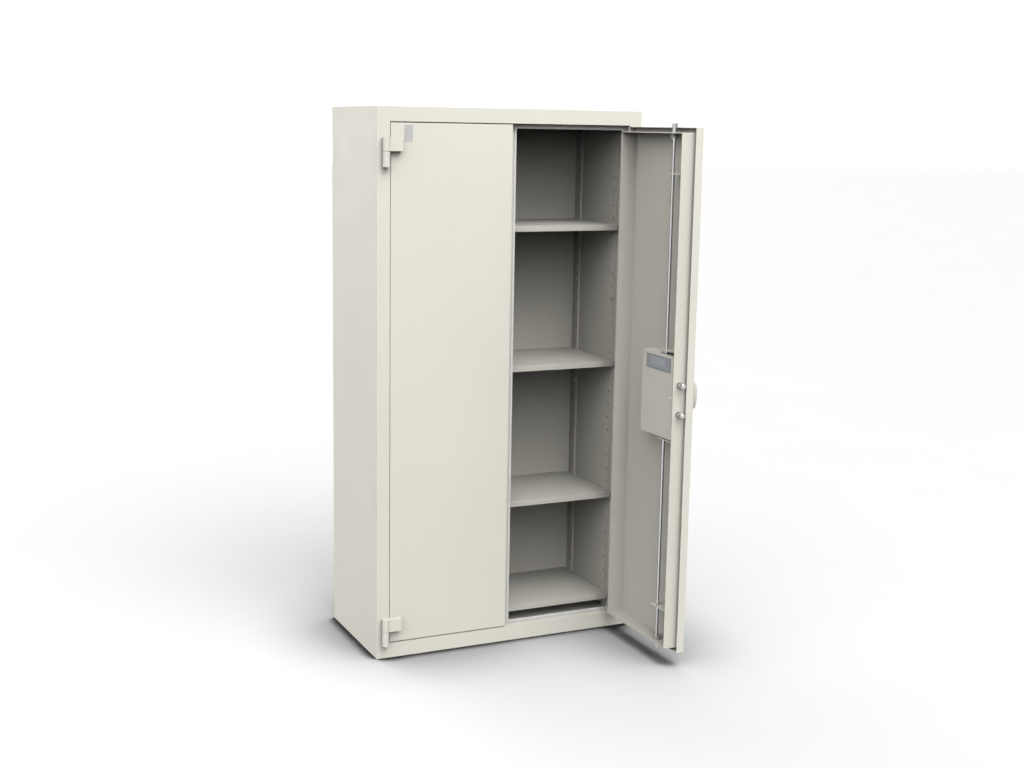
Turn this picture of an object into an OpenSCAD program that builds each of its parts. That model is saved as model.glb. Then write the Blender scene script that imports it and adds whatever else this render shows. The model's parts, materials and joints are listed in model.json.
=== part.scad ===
// Two-door steel security cabinet with shelves, centre post and a rod-and-bolt lock.
// Millimetres. Z is up, the front faces -Y, and the origin is the middle of the base.
// The right door is drawn open with its rods and bolts thrown, and the left door closed.

/* [Carcass] */

// overall width across the side panels
body_w = 1005; // [900:5:1100]
// overall depth from the front frame face to the back
body_d = 480; // [440:5:600]
// overall height from the floor to the top
body_h = 1920; // [1850:10:2000]
// thickness of the outer sheet
skin_t = 2; // [1.5:0.5:2.5]
// thickness of the insulation boards in the sides and back
board_t = 20; // [12:1:24]
// thickness of the inner liner sheet
liner_t = 1.5; // [1:0.5:2]
// space under the inner floor
floor_z = 34; // [30:1:36]
// space above the inner ceiling
ceiling_gap = 25.5; // [20:0.5:30]

/* [Front frame] */

// width of the jamb face at each side
jamb_w = 46; // [36:1:56]
// height of the head face over the doors
head_h = 49.5; // [42:0.5:60]
// height of the sill face under the doors
sill_h = 53; // [46:1:60]
// depth of the door rebate
rebate_d = 30.5; // [30.5:0.5:34]
// seal edge below the head opening edge
lip_top = 17.2; // [14:0.2:18]
// seal edge above the sill opening edge
lip_bottom = 12.7; // [10:0.1:14]
// seal edge inside each jamb opening edge
lip_side = 15; // [12:0.5:16]
// half width of the centre post over its seals
post_half = 21.5; // [19:0.5:21.5]
// width of the bead between the two doors
bead_w = 6; // [4:0.5:7]
// depth of the hollow box behind the post
post_box_d = 27; // [24:1:30]

/* [Doors] */

// gap above and below each door
door_gap = 4; // [3:0.5:5]
// gap along the hinge edge of each door
side_gap = 2; // [2:0.5:4]
// gap between the two door leaves
leaf_gap = 13; // [12:0.5:16]
// thickness of the door rim
pan_d = 28; // [24:1:28]
// depth from the door face to the rim of the inner frame
tray_d = 67; // [64:1:72]
// sheet thickness of the doors
door_t = 2; // [1.5:0.5:2.5]
// step from the door top to the inner frame
step_top = 17; // [16:0.5:20]
// step from the door bottom to the inner frame
step_bottom = 14; // [13:0.5:18]
// step from the hinge edge to the inner frame
step_hinge = 15; // [14.5:0.5:20]
// step from the free edge to the foot of the inner frame
step_lead = 17; // [17:0.5:20]
// extra lean of the inner frame along the free edge
lead_lean = 7; // [6:0.5:10]
// width of the rim turned inward
rim_w = 3; // [3:0.5:8]
// opening angle of the right door as drawn
door_open = 90; // [90]

/* [Hinges] */

// hinge axis outside the door edge
axis_side = 20.5; // [18:0.5:22]
// hinge axis in front of the frame face
axis_front = 14; // [14:0.5:16]
// hinge barrel diameter
barrel_dia = 26; // [22:0.5:27]
// hinge pin diameter
pin_dia = 12; // [8:0.5:14]
// radial running clearance of the hinge pins
pin_clear = 0.06; // [0.02:0.01:0.1]
// height of the frame knuckle
knuckle_h = 51; // [40:1:70]
// height of the door hinge block
block_h = 46; // [36:1:60]
// length of the block over the door face
block_reach = 37; // [25:1:60]
// thickness of the block in front of the door
block_t = 22; // [16:1:26]
// height of the bearing line of the lower hinges
hinge_low_z = 100; // [100:1:200]
// distance of the upper bearing line below the top
hinge_top_drop = 149.5; // [130:0.5:260]
// thickness of the hinge washers
washer_t = 1.5; // [1:0.5:3]

/* [Lock and rods] */

// lock rods from the free edge of the door
rod_free = 111.5; // [108.5:0.5:114.5]
// depth of the rods and bolts behind the door face
rod_v = 44; // [42:0.5:45]
// rod diameter
rod_dia = 12; // [8:0.5:14]
// diameter of the rod tips
tip_dia = 18; // [14:0.5:18]
// length of the rod tips
tip_len = 55; // [50:1:80]
// travel of rods and bolts
throw = 30; // [24:1:30]
// height of the handle spindle
spindle_z = 955; // [930:1:980]
// spindle beside the lock rods, toward the free edge
spindle_side = 33; // [32:0.5:35]
// spindle diameter
spindle_dia = 12; // [8:0.5:12]
// sliding clearance around rods, tips and bolts
slide_clear = 0.3; // [0.3:0.1:0.6]
// diameter of the drive pins
drive_pin_dia = 8; // [6:0.5:8]
// radius of the drive pins from the spindle with the bolts back
cam_r0 = 14; // [14:0.5:16]
// clearance of the drive pins in their slots
slot_clear = 0.4; // [0.3:0.1:0.5]
// thickness of the slotted cam disc
cam_t = 6; // [4:1:6]
// horizontal bolt diameter
bolt_dia = 18; // [16:1:20]
// distance between the two horizontal bolts
bolt_pitch = 102; // [90:1:110]
// lock cover depth behind the door face
case_v = 60; // [58:1:62]
// width of the lock case
case_w = 219; // [200:1:226]
// clearance of the lock case to the free-edge wall of the inner frame
case_gap = 0.5; // [0.4:0.1:3]
// lock case below the spindle
case_below = 144; // [138:1:158]
// lock case above the spindle
case_above = 146; // [134:1:162]
// sheet thickness of the lock case
case_t = 1.5; // [1:0.5:2]
// thickness of the guide plates
guide_t = 3; // [2:0.5:5]
// width of the guide plates
guide_w = 40; // [34:1:50]
// lowest guide plate above the door's bottom edge
guide_low_in = 141.5; // [95:0.5:240]
// highest guide plate below the door's top edge
guide_high_in = 155; // [105:0.5:260]
// keyhole beside the spindle, toward the hinges
key_side = 95; // [90:1:100]
// shoot bolts of the left door from its free edge
left_free = 48.5; // [44:0.5:80]
// length of the shoot bolts
left_len = 180; // [160:5:220]
// outer guide of a shoot bolt inside the door frame
left_guide_in = 60; // [50:1:70]
// distance between the two guides of a shoot bolt
left_guide_gap = 110; // [90:1:110]

/* [Handle] */

// length of the barrel grip
grip_len = 92; // [80:1:120]
// diameter in the middle of the grip
grip_dia = 24; // [22:1:30]
// diameter at the ends of the grip
grip_end_dia = 12; // [10:0.5:20]
// grip axis in front of the door face
grip_out = 50; // [45:1:60]
// diameter of the rosette
rosette_dia = 56; // [46:1:60]

/* [Shelves] */

// top of the lowest board
shelf_a_z = 96; // [95:1:140]
// top of the second shelf
shelf_b_z = 498; // [400:1:600]
// top of the third shelf
shelf_c_z = 1003; // [900:1:1100]
// top of the top shelf
shelf_d_z = 1511; // [1400:1:1560]
// front edge of the shelves behind the frame face
shelf_v0 = 90; // [85:1:120]
// height of the shelf edge
shelf_lip = 21; // [16:1:30]
// sheet thickness of the shelves
shelf_t = 1.5; // [1:0.5:2]
// front rails behind the shelf edge
rail_front_in = 40; // [30:1:60]
// rear rails in front of the inner back
rail_back_in = 46.5; // [30:0.5:60]
// depth of the slotted rails
rail_d = 8; // [6:1:12]
// width of the slotted rails
rail_w = 25; // [20:1:35]
// spacing of the slots in the rails
slot_pitch = 50; // [40:5:100]

/* [Base fixing] */

// anchor holes from the sides
anchor_in_x = 102.5; // [80:2.5:200]
// anchor holes from the front and the back
anchor_in_y = 70; // [65:1:110]
// anchor hole diameter
anchor_dia = 12; // [8:0.5:16]

/* [Hidden] */

$fn = 48;
eps = 0.01;
front = -body_d / 2;
half_w = body_w / 2;
base_t = 3;
in_x = half_w - skin_t - board_t - liner_t;
liner_x = half_w - skin_t - board_t;
in_back = body_d - skin_t - board_t - liner_t;
in_top = body_h - ceiling_gap;
open_x = half_w - jamb_w;
open_top = body_h - head_h;
open_bottom = sill_h;
seal_face = 1.5;
seal_web = 1.5;
seal_w = 8;
seal_r = 6;
seal_back = 1;
lip_z1 = open_top - lip_top + seal_web;
lip_z0 = open_bottom + lip_bottom - seal_web;
lip_x = open_x - lip_side + seal_web;
lip_post = post_half - seal_web;
lip_v1 = rebate_d + skin_t;
post_box_x = 14;
door_edge = open_x - side_gap;
leaf_w = door_edge - leaf_gap / 2;
door_z0 = open_bottom + door_gap;
door_z1 = open_top - door_gap;
tray_z0 = door_z0 + step_bottom;
tray_z1 = door_z1 - step_top;
lead_foot = leaf_w - step_lead;
lead_rim = lead_foot - lead_lean;
// inner face of the leaning free-edge wall at depth v
function lead_inner_u(v) =
    lead_foot - door_t - lead_lean * (v - pan_d) / (tray_d - door_t - pan_d);
axis_x = door_edge + axis_side;
axis_y = front - axis_front;
hinge_top_z = body_h - hinge_top_drop;
hinge_zs = [hinge_low_z, hinge_top_z];
rod_u = leaf_w - rod_free;
spindle_u = rod_u + spindle_side;
case_u1 = lead_inner_u(case_v) - case_gap;
case_u0 = case_u1 - case_w;
case_z0 = spindle_z - case_below;
case_z1 = spindle_z + case_above;
plate_v0 = 19;
plate_t = 3;
cam_v0 = plate_v0 - 1 - cam_t;
cam_r = cam_r0 + throw + drive_pin_dia / 2 + slot_clear + 6;
base_plate_t = 3;
pin_v0 = cam_v0 + 0.5;
bolt_tip_u = lead_foot - lead_lean * (rod_v - pan_d) / (tray_d - pan_d) + 0.2;
bolt_zs = [spindle_z - bolt_pitch / 2, spindle_z + bolt_pitch / 2];
carriage_u1 = spindle_u + cam_r0 + drive_pin_dia / 2 + 1;
guide_zs = [door_z0 + guide_low_in, case_z0 - 8, case_z1 + 13, door_z1 - guide_high_in];
left_u = leaf_w - left_free;
tip_flush = 0.5;
pin_r = cam_r0 + throw;
rail_vs = [shelf_v0 + rail_front_in, in_back - rail_back_in];
anchor_dx = body_w - 2 * anchor_in_x;
anchor_dy = body_d - 2 * anchor_in_y;
anchor_plate = [70, 60];
anchor_gap = 2;
post_in_u = 10;
post_in_z = 12;
post_us = [case_u0 + post_in_u, case_u1 - post_in_u];
post_zs = [case_z0 + post_in_z, case_z1 - post_in_z];
plug_u = case_u1 - 30;
label_side = 29.5;
label_top = 10;
label_h = 49;
shelf_zs = [shelf_a_z, shelf_b_z, shelf_c_z, shelf_d_z];
key_u = spindle_u - key_side;
key_z = spindle_z;
flap_pin_z = key_z + 17;
// gap between sheets that lie on each other, and how far a cut runs past its face
touch_gap = 0.1;
past = 1;
// anchor doublers
anchor_plate_t = 4;
anchor_tube_wall = 7;
// post, strike plate and keeper plates
bead_v0 = 22;
post_hole_clear = 1.5;
strike_t = 2;
strike_over = 38;
strike_screw = 30;
strike_screw_dia = 4;
strike_clear = 0.6;
keeper_half = 22;
keeper_t = 4;
keeper_over = 8;
keeper_clear = 1;
// rails, clips and shelf edges
rail_t = 1.5;
slot_w = 8;
slot_h = 12;
slot_first = 40;
slot_last = 60;
clip_half = 8;
clip_h = 24;
clip_t = 1.5;
clip_reach = 13;
shelf_side = 2;
shelf_back = 3;
// hinges
knuckle_web = 14;
knuckle_floor = 6;
block_cap = 5;
washer_clear = 0.2;
// guides and bushes
guide_foot = 12;
left_guide_half = 16;
left_guide_over = 12;
bush_len = 16;
bush_wall = 4;
bolt_bush_half = 14;
bolt_bush_gap = 0.8;
// case screws, plug and label
lock_post_dia = 10;
thread_dia = 5.12;
thread_deep = 16;
screw_dia = 5;
screw_len = 14;
screw_head_dia = 9;
screw_head_t = 2.4;
screw_clear = 0.2;
plug_dia = 13;
plug_head_t = 2;
plug_stem = 8;
plug_clear = 0.1;
label_t = 0.8;
// key lock
lock_half = 30;
lock_d = 32;
lock_down = 50;
lock_up = 40;
key_bore = 10;
escutcheon_dia = 40;
escutcheon_t = 2;
key_hole_dia = 8;
flap_pin_dia = 3;
flap_pin_out = 6.5;
flap_v0 = -4;
flap_v1 = -2.4;
flap_dia = 22;
flap_neck = 10;
// handle stem and rosette
rosette_t = 6;
rosette_gap = 0.5;
spindle_clear = 0.5;
spindle_over = 5;
stem_dia = 20;
collar_dia = 28;
collar_v = -14;
stem_v1 = -rosette_t - rosette_gap;
grip_taper = sqrt(1 - pow(grip_end_dia / grip_dia, 2));
grip_steps = [0.12, 0.3, 0.5, 0.7, 0.86];
grip_round = 2;
// drive plates, carriage and finger pins
plate_in = 6;
plate_out = 46;
plate_half = 8;
socket_in = 15.9;
socket_over = 3;
socket_wall = 4;
rod_fit = 0.05;
carriage_over = 10;
carriage_back = 12;
bolt_nose = 3;
bolt_nose_dia = bolt_dia - 6;
thumb_in = 60;
thumb_dia = 10;

// box between two corners, with depth measured behind the front face
module bar(x0, x1, v0, v1, z0, z1) {
    translate([x0, front + v0, z0])
        cube([x1 - x0, v1 - v0, z1 - z0]);
}

// box in door coordinates, with u measured from the hinge edge
module leaf_bar(u0, u1, v0, v1, z0, z1) {
    bar(door_edge - u1, door_edge - u0, v0, v1, z0, z1);
}

// profile in the X-Z plane extruded from depth v0 to v1
module along_v(v0, v1) {
    translate([0, front + v1, 0])
        rotate([90, 0, 0])
            linear_extrude(v1 - v0)
                children();
}

// round bar along the depth at (x, z)
module rod_v_dir(x, z, v0, v1, d) {
    translate([x, front + v1, z])
        rotate([90, 0, 0])
            cylinder(d = d, h = v1 - v0);
}

// round bar along Z at (x, v)
module rod_z_dir(x, v, z0, z1, d) {
    translate([x, front + v, z0])
        cylinder(d = d, h = z1 - z0);
}

// round bar along X at (v, z)
module rod_x_dir(v, z, x0, x1, d) {
    translate([x0, front + v, z])
        rotate([0, 90, 0])
            cylinder(d = d, h = x1 - x0);
}

// puts a closed right leaf piece at the drawn opening angle
module open_right() {
    translate([axis_x, axis_y, 0])
        rotate([0, 0, door_open])
            translate([-axis_x, -axis_y, 0])
                children();
}

module to_left() {
    mirror([1, 0, 0])
        children();
}

// carcass shell
module side_left() {
    color([0.86, 0.84, 0.78])
        bar(-half_w, -half_w + skin_t, skin_t, body_d, 0, body_h);
}

module side_right() {
    color([0.86, 0.84, 0.78])
        bar(half_w - skin_t, half_w, skin_t, body_d, 0, body_h);
}

module top_panel() {
    color([0.86, 0.84, 0.78])
        bar(-half_w + skin_t, half_w - skin_t, skin_t, body_d - skin_t, body_h - skin_t, body_h);
}

module back_panel() {
    color([0.82, 0.80, 0.74])
        bar(-half_w + skin_t, half_w - skin_t, body_d - skin_t, body_d, base_t, body_h);
}

module anchor_cuts(z0, z1, d) {
    for (sx = [-1, 1])
        for (sy = [-1, 1])
            translate([sx * anchor_dx / 2, sy * anchor_dy / 2, z0])
                cylinder(d = d, h = z1 - z0);
}

module base_panel() {
    color([0.5, 0.5, 0.5])
        difference() {
            bar(-half_w + skin_t, half_w - skin_t, skin_t, body_d, 0, base_t);
            anchor_cuts(-past, base_t + past, anchor_dia);
        }
}

// doubler with a spacer tube at each anchor hole
module anchor_plates() {
    color([0.6, 0.6, 0.62])
        difference() {
            for (sx = [-1, 1])
                for (sy = [-1, 1])
                    translate([sx * anchor_dx / 2, sy * anchor_dy / 2, base_t]) {
                        translate([-anchor_plate[0] / 2, -anchor_plate[1] / 2, 0])
                            cube([anchor_plate[0], anchor_plate[1], anchor_plate_t]);
                        cylinder(d = anchor_dia + 2 * anchor_tube_wall,
                            h = floor_z - liner_t - base_t);
                    }
            anchor_cuts(0, floor_z, anchor_dia);
        }
}

// folded front frame
module jamb_profile(x_face, x_lip) {
    bar(x_face, half_w, 0, skin_t, 0, body_h);
    bar(x_face, x_face + skin_t, skin_t - eps, rebate_d + eps, open_bottom, open_top);
    bar(x_lip, half_w - skin_t, rebate_d, lip_v1, base_t, body_h - skin_t);
}

module jamb_right() {
    color([0.88, 0.86, 0.80])
        jamb_profile(open_x, lip_x);
}

module jamb_left() {
    color([0.88, 0.86, 0.80])
        to_left()
            jamb_profile(open_x, lip_x);
}

module head_rail() {
    color([0.88, 0.86, 0.80]) {
        bar(-open_x, open_x, 0, skin_t, open_top, body_h);
        bar(-open_x, open_x, skin_t - eps, rebate_d + eps, open_top, open_top + skin_t);
        bar(-lip_x, lip_x, rebate_d, lip_v1, lip_z1, body_h - skin_t);
    }
}

module sill_rail() {
    color([0.88, 0.86, 0.80]) {
        bar(-open_x, open_x, 0, skin_t, 0, open_bottom);
        bar(-open_x, open_x, skin_t - eps, rebate_d + eps, open_bottom - skin_t, open_bottom);
        bar(-lip_x, lip_x, rebate_d, lip_v1, base_t, lip_z0);
    }
}

module centre_post() {
    color([0.88, 0.86, 0.80])
        difference() {
            union() {
                bar(-bead_w / 2, bead_w / 2, bead_v0, rebate_d + eps, open_bottom, open_top);
                bar(-lip_post, lip_post, rebate_d, lip_v1, lip_z0, lip_z1);
                difference() {
                    bar(-post_box_x, post_box_x, lip_v1 - eps, lip_v1 + post_box_d,
                        open_bottom, open_top);
                    bar(-post_box_x + skin_t, post_box_x - skin_t, lip_v1,
                        lip_v1 + post_box_d - skin_t, open_bottom - past, open_top + past);
                }
            }
            for (z = bolt_zs)
                rod_x_dir(rod_v, z, 0, post_box_x + past, bolt_dia + 2 * post_hole_clear);
        }
}

// strike plate with the two bolt holes
module post_keeper() {
    color([0.62, 0.62, 0.64])
        difference() {
            bar(post_box_x, post_box_x + strike_t, lip_v1 + 0.2, lip_v1 + post_box_d - 1,
                bolt_zs[0] - strike_over, bolt_zs[1] + strike_over);
            for (z = bolt_zs)
                rod_x_dir(rod_v, z, 0, post_box_x + strike_t + past, bolt_dia + 2 * strike_clear);
            for (z = [bolt_zs[0] - strike_screw, spindle_z, bolt_zs[1] + strike_screw])
                rod_x_dir(rod_v, z, 0, post_box_x + strike_t + past, strike_screw_dia);
        }
}

module keeper_plate(x, z0) {
    difference() {
        bar(x - keeper_half, x + keeper_half, lip_v1, rod_v + tip_dia / 2 + keeper_over,
            z0, z0 + keeper_t);
        rod_z_dir(x, rod_v, z0 - past, z0 + keeper_t + past, tip_dia + 2 * keeper_clear);
    }
}

// plates behind the lip that the rod tips pass through
module keeper_plates() {
    color([0.62, 0.62, 0.64])
        for (x = [door_edge - rod_u, left_u - door_edge])
            for (z = [lip_z0 - 7, lip_z1 + 3])
                keeper_plate(x, z);
}

module insulation_boards() {
    color([0.85, 0.80, 0.60]) {
        for (s = [0, 1])
            mirror([s, 0, 0])
                bar(liner_x, half_w - skin_t, lip_v1, body_d - skin_t - board_t,
                    base_t, body_h - skin_t);
        bar(-half_w + skin_t, half_w - skin_t, body_d - skin_t - board_t, body_d - skin_t,
            base_t, body_h - skin_t);
        bar(-in_x, in_x, lip_v1 + 2, in_back, in_top + liner_t, body_h - skin_t);
        difference() {
            bar(-in_x, in_x, lip_v1 + 2, in_back, base_t + 5, floor_z - liner_t);
            for (sx = [-1, 1])
                for (sy = [-1, 1])
                    translate([sx * anchor_dx / 2 - anchor_plate[0] / 2 - anchor_gap,
                        sy * anchor_dy / 2 - anchor_plate[1] / 2 - anchor_gap, 0])
                        cube([anchor_plate[0] + 2 * anchor_gap, anchor_plate[1] + 2 * anchor_gap,
                            floor_z]);
        }
    }
}

// inner lining of five sheets
module inner_liner() {
    x1 = in_x - touch_gap;
    color([0.72, 0.71, 0.67]) {
        for (s = [0, 1])
            mirror([s, 0, 0])
                bar(in_x, in_x + liner_t, lip_v1, in_back + liner_t, base_t, body_h - skin_t);
        bar(-x1, x1, in_back, in_back + liner_t, base_t, body_h - skin_t);
        bar(-x1, x1, lip_v1, in_back - touch_gap, in_top, in_top + liner_t);
        difference() {
            bar(-x1, x1, lip_v1, in_back - touch_gap, floor_z - liner_t, floor_z);
            anchor_cuts(0, floor_z + past, anchor_dia);
        }
    }
}

module shelf_rail(v) {
    difference() {
        bar(in_x - rail_d, in_x, v - rail_w / 2, v + rail_w / 2, floor_z, in_top);
        bar(in_x - rail_d + rail_t, in_x + past, v - rail_w / 2 + rail_t, v + rail_w / 2 - rail_t,
            floor_z - past, in_top + past);
        for (z = [floor_z + slot_first : slot_pitch : in_top - slot_last])
            bar(in_x - rail_d - past, in_x - rail_d + rail_t + past, v - slot_w / 2, v + slot_w / 2,
                z, z + slot_h);
    }
}

module shelf_rails() {
    color([0.66, 0.66, 0.65])
        for (s = [0, 1])
            mirror([s, 0, 0])
                for (v = rail_vs)
                    shelf_rail(v);
}

// bent clip with a foot under each shelf corner
module shelf_clip(v, z) {
    x1 = in_x - rail_d;
    z1 = z - shelf_t - touch_gap;
    bar(x1 - clip_t, x1, v - clip_half, v + clip_half, z - clip_h, z1);
    bar(x1 - clip_reach, x1 - clip_t + eps, v - clip_half, v + clip_half, z1 - clip_t, z1);
}

module shelf_clips() {
    color([0.7, 0.7, 0.72])
        for (s = [0, 1])
            mirror([s, 0, 0])
                for (z = shelf_zs)
                    for (v = rail_vs)
                        shelf_clip(v, z);
}

// shelf sheet with its four edges turned down, notched for the clips
module shelf(z) {
    shelf_x = in_x - rail_d - shelf_side;
    notch = clip_half + past;
    v1 = in_back - shelf_back;
    color([0.80, 0.79, 0.75])
        difference() {
            bar(-shelf_x, shelf_x, shelf_v0, v1, z - shelf_lip, z);
            bar(-shelf_x + shelf_t, shelf_x - shelf_t, shelf_v0 + shelf_t, v1 - shelf_t,
                z - shelf_lip - past, z - shelf_t);
            for (s = [-1, 1])
                for (v = rail_vs)
                    bar(s * shelf_x - 2 * shelf_t, s * shelf_x + 2 * shelf_t, v - notch, v + notch,
                        z - shelf_lip - past, z - shelf_t);
        }
}

module shelf_bottom() {
    shelf(shelf_a_z);
}

module shelf_lower() {
    shelf(shelf_b_z);
}

module shelf_middle() {
    shelf(shelf_c_z);
}

module shelf_upper() {
    shelf(shelf_d_z);
}

// plate from v0 to v1 with round inner corners cut through it
module round_window(x0, x1, z0, z1, v0, v1, r) {
    bar(x0 + r, x1 - r, v0, v1, z0, z1);
    bar(x0, x1, v0, v1, z0 + r, z1 - r);
    for (x = [x0 + r, x1 - r])
        for (z = [z0 + r, z1 - r])
            rod_v_dir(x, z, v0, v1, 2 * r);
}

// light rubber trim on the edge of the lip round one opening
module seal_ring() {
    x0 = post_half;
    x1 = open_x - lip_side;
    z0 = open_bottom + lip_bottom;
    z1 = open_top - lip_top;
    v0 = rebate_d - seal_face;
    v1 = lip_v1 + seal_back;
    difference() {
        union() {
            bar(x0 - seal_w, x1 + seal_w, v0, rebate_d, z0 - seal_w, z1 + seal_w);
            bar(x0 - seal_web, x1 + seal_web, rebate_d - eps, v1, z0 - seal_web, z1 + seal_web);
        }
        round_window(x0, x1, z0, z1, v0 - past, v1 + past, seal_r);
    }
}

module seal_right() {
    color([0.78, 0.78, 0.76])
        seal_ring();
}

module seal_left() {
    color([0.78, 0.78, 0.76])
        to_left()
            seal_ring();
}

// frame side of the hinges
module knuckle(z) {
    difference() {
        union() {
            translate([axis_x, axis_y, z - knuckle_h])
                cylinder(d = barrel_dia, h = knuckle_h);
            translate([axis_x - knuckle_web / 2, axis_y, z - knuckle_h])
                cube([knuckle_web, axis_front, knuckle_h]);
        }
        translate([axis_x, axis_y, z - knuckle_h + knuckle_floor])
            cylinder(d = pin_dia + 2 * pin_clear, h = knuckle_h);
    }
}

module hinge_knuckles() {
    color([0.86, 0.84, 0.78])
        for (s = [0, 1])
            mirror([s, 0, 0])
                for (z = hinge_zs)
                    knuckle(z);
}

module hinge_pins() {
    color([0.7, 0.7, 0.72])
        for (s = [0, 1])
            mirror([s, 0, 0])
                for (z = hinge_zs)
                    translate([axis_x, axis_y, z - knuckle_h + knuckle_floor + touch_gap])
                        cylinder(d = pin_dia, h = knuckle_h + block_h - 2 * knuckle_floor);
}

module hinge_washers() {
    color([0.66, 0.66, 0.67])
        for (s = [0, 1])
            mirror([s, 0, 0])
                for (z = hinge_zs)
                    translate([axis_x, axis_y, z])
                        difference() {
                            cylinder(d = barrel_dia - 1, h = washer_t);
                            translate([0, 0, -past])
                                cylinder(d = pin_dia + 2 * washer_clear, h = washer_t + 2 * past);
                        }
}

// door side of a hinge: barrel, arm and the plate on the door face
module hinge_block(z) {
    z0 = z + washer_t + touch_gap;
    difference() {
        union() {
            translate([axis_x, axis_y, z0])
                cylinder(d = barrel_dia, h = block_h);
            bar(door_edge, axis_x, -block_t, -1, z0, z0 + block_h);
            leaf_bar(0, block_reach, -block_t, 0, z0, z0 + block_h);
        }
        translate([axis_x, axis_y, z0 - past])
            cylinder(d = pin_dia + 2 * pin_clear, h = block_h - block_cap + past);
    }
}

module left_hinge_blocks() {
    color([0.88, 0.86, 0.80])
        to_left()
            for (z = hinge_zs)
                hinge_block(z);
}

module right_hinge_blocks() {
    color([0.88, 0.86, 0.80])
        open_right()
            for (z = hinge_zs)
                hinge_block(z);
}

// door skin with its four turned edges, which leave a groove round the inner frame
module leaf_pan() {
    difference() {
        leaf_bar(0, leaf_w, 0, pan_d, door_z0, door_z1);
        leaf_bar(door_t, leaf_w - door_t, door_t, pan_d + past,
            door_z0 + door_t, door_z1 - door_t);
    }
}

// open frame of four walls with a rim turned inward
module leaf_frame() {
    v1 = tray_d;
    leaf_bar(step_hinge, step_hinge + door_t, door_t, v1, tray_z0, tray_z1);
    leaf_bar(step_hinge, step_hinge + rim_w, v1 - door_t, v1, tray_z0, tray_z1);
    translate([0, 0, tray_z0])
        linear_extrude(tray_z1 - tray_z0)
            polygon([
                [door_edge - lead_foot, front + door_t],
                [door_edge - lead_foot, front + pan_d],
                [door_edge - lead_rim, front + v1],
                [door_edge - lead_rim + rim_w, front + v1],
                [door_edge - lead_rim + rim_w, front + v1 - door_t],
                [door_edge - lead_rim + door_t, front + v1 - door_t],
                [door_edge - lead_foot + door_t, front + pan_d],
                [door_edge - lead_foot + door_t, front + door_t]]);
    for (z = [tray_z0, tray_z1 - door_t])
        translate([0, 0, z])
            linear_extrude(door_t)
                leaf_outline();
    for (z = [tray_z0, tray_z1 - rim_w])
        leaf_bar(step_hinge, lead_rim, v1 - door_t, v1, z, z + rim_w);
}

module leaf_outline() {
    polygon([
        [door_edge - step_hinge, front + door_t],
        [door_edge - lead_foot, front + door_t],
        [door_edge - lead_foot, front + pan_d],
        [door_edge - lead_rim, front + tray_d],
        [door_edge - step_hinge, front + tray_d]]);
}

module left_door_pan() {
    color([0.90, 0.88, 0.82])
        to_left()
            leaf_pan();
}

module left_door_frame() {
    color([0.72, 0.70, 0.66])
        to_left()
            difference() {
                leaf_frame();
                leaf_rod_cuts(left_u, rod_dia);
            }
}

module right_door_pan() {
    color([0.90, 0.88, 0.82])
        open_right()
            difference() {
                leaf_pan();
                rod_v_dir(door_edge - spindle_u, spindle_z, -past, door_t + past,
                    spindle_dia + 2 * spindle_clear);
                rod_v_dir(door_edge - key_u, key_z, -past, door_t + past, key_bore);
            }
}

module leaf_rod_cuts(u, d) {
    for (z = [tray_z0, tray_z1 - door_t])
        rod_z_dir(door_edge - u, rod_v, z - past, z + door_t + past, d + 2 * slide_clear);
}

module right_door_frame() {
    color([0.72, 0.70, 0.66])
        open_right()
            difference() {
                leaf_frame();
                leaf_rod_cuts(rod_u, tip_dia);
                for (z = bolt_zs)
                    rod_x_dir(rod_v, z, 0, door_edge - lead_rim + 12, bolt_dia + 2 * slide_clear);
            }
}

// guide plate across the door, on the door skin
module guide_plate(u, z, d) {
    difference() {
        leaf_bar(u - guide_w / 2, u + guide_w / 2, door_t, case_v, z, z + guide_t);
        rod_z_dir(door_edge - u, rod_v, z - past, z + guide_t + past, d + 2 * slide_clear);
    }
    leaf_bar(u - guide_w / 2, u + guide_w / 2, door_t, door_t + guide_t, z - guide_foot, z + eps);
}

module rod_guides() {
    color([0.75, 0.75, 0.74])
        open_right()
            for (z = guide_zs)
                guide_plate(rod_u, z, rod_dia);
}

module bush(z, s) {
    z0 = s > 0 ? z - bush_len : z;
    z1 = z0 + bush_len;
    difference() {
        rod_z_dir(door_edge - rod_u, rod_v, z0, z1, tip_dia + 2 * bush_wall);
        rod_z_dir(door_edge - rod_u, rod_v, z0 - past, z1 + past, tip_dia + 2 * slide_clear);
    }
}

module rod_bushes() {
    color([0.82, 0.81, 0.77])
        open_right() {
            bush(tray_z1 - door_t, 1);
            bush(tray_z0 + door_t, -1);
        }
}

// lock mounting plate with four tapped posts
module lock_base() {
    color([0.7, 0.7, 0.72])
        open_right()
            difference() {
                union() {
                    leaf_bar(case_u0 + case_t, case_u1 - 2, door_t, door_t + base_plate_t,
                        case_z0 + case_t, case_z1 - case_t);
                    for (u = post_us)
                        for (z = post_zs)
                            rod_v_dir(door_edge - u, z, door_t, case_v - case_t, lock_post_dia);
                }
                rod_v_dir(door_edge - spindle_u, spindle_z, 0, door_t + base_plate_t + past,
                    spindle_dia + 2 * spindle_clear);
                rod_v_dir(door_edge - key_u, key_z, 0, door_t + base_plate_t + past, key_bore);
                for (u = post_us)
                    for (z = post_zs)
                        rod_v_dir(door_edge - u, z, case_v - thread_deep, case_v + past, thread_dia);
            }
}

// hole through the face of the lock case
module case_hole(u, z, d) {
    rod_v_dir(door_edge - u, z, case_v - case_t - past, case_v + past, d);
}

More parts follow.
